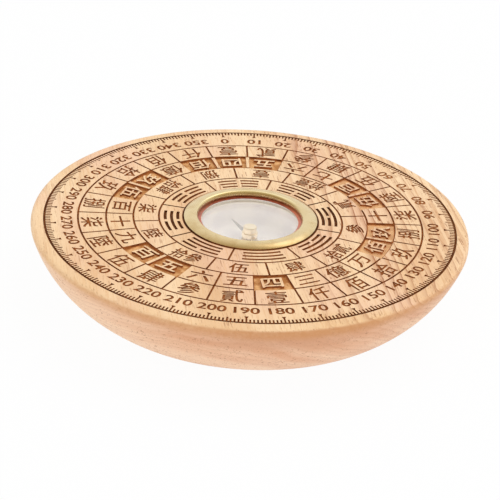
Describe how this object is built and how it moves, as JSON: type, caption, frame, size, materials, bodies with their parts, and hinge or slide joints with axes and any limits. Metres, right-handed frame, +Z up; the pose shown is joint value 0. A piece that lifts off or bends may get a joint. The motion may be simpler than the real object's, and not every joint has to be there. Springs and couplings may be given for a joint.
{
  "type": "feng shui compass",
  "caption": "Round wooden feng shui compass: engraved dial on a turned block, with a brass-rimmed glazed magnetic compass in its centre.",
  "frame": {"origin": "centre of the flat base, on its face", "axes": "+Z up through the middle of the dial and along the needle's pivot, +Y towards the zero mark of the degree scale, +X towards its 90 mark"},
  "size_m": [0.11, 0.11, 0.019],
  "materials": {
    "wood": "sanded bare wood with burnt-in engraving",
    "bezel_brass": "satin, lightly worn",
    "red_gasket": "smooth, semi-gloss",
    "glass": "clear, polished",
    "seat_ring_metal": "turned",
    "white_enamel": "white, satin",
    "cup_brass": "drawn, unpolished",
    "pivot_brass": "turned, pale",
    "pin_steel": "ground",
    "needle_steel": "blued, satin",
    "cap_brass": "turned, pale",
    "jewel": "polished"
  },
  "bodies": {
    "body": {"wooden_body": "wood", "brass_bezel": "bezel_brass", "red_gasket": "red_gasket", "cover_glass": "glass", "seat_ring": "seat_ring_metal", "white_dish": "white_enamel", "compass_cup": "cup_brass", "pivot_base": "pivot_brass", "pivot_pin": "pin_steel"},
    "needle_set": {"needle": "needle_steel", "needle_cap": "cap_brass", "jewel_bearing": "jewel"}
  },
  "joints": [
    {"name": "needle_spin", "type": "hinge", "parent": "body", "child": "needle_set", "pos_m": [0, 0, 0.01295], "axis": [0, 0, 1], "continuous": true}
  ]
}
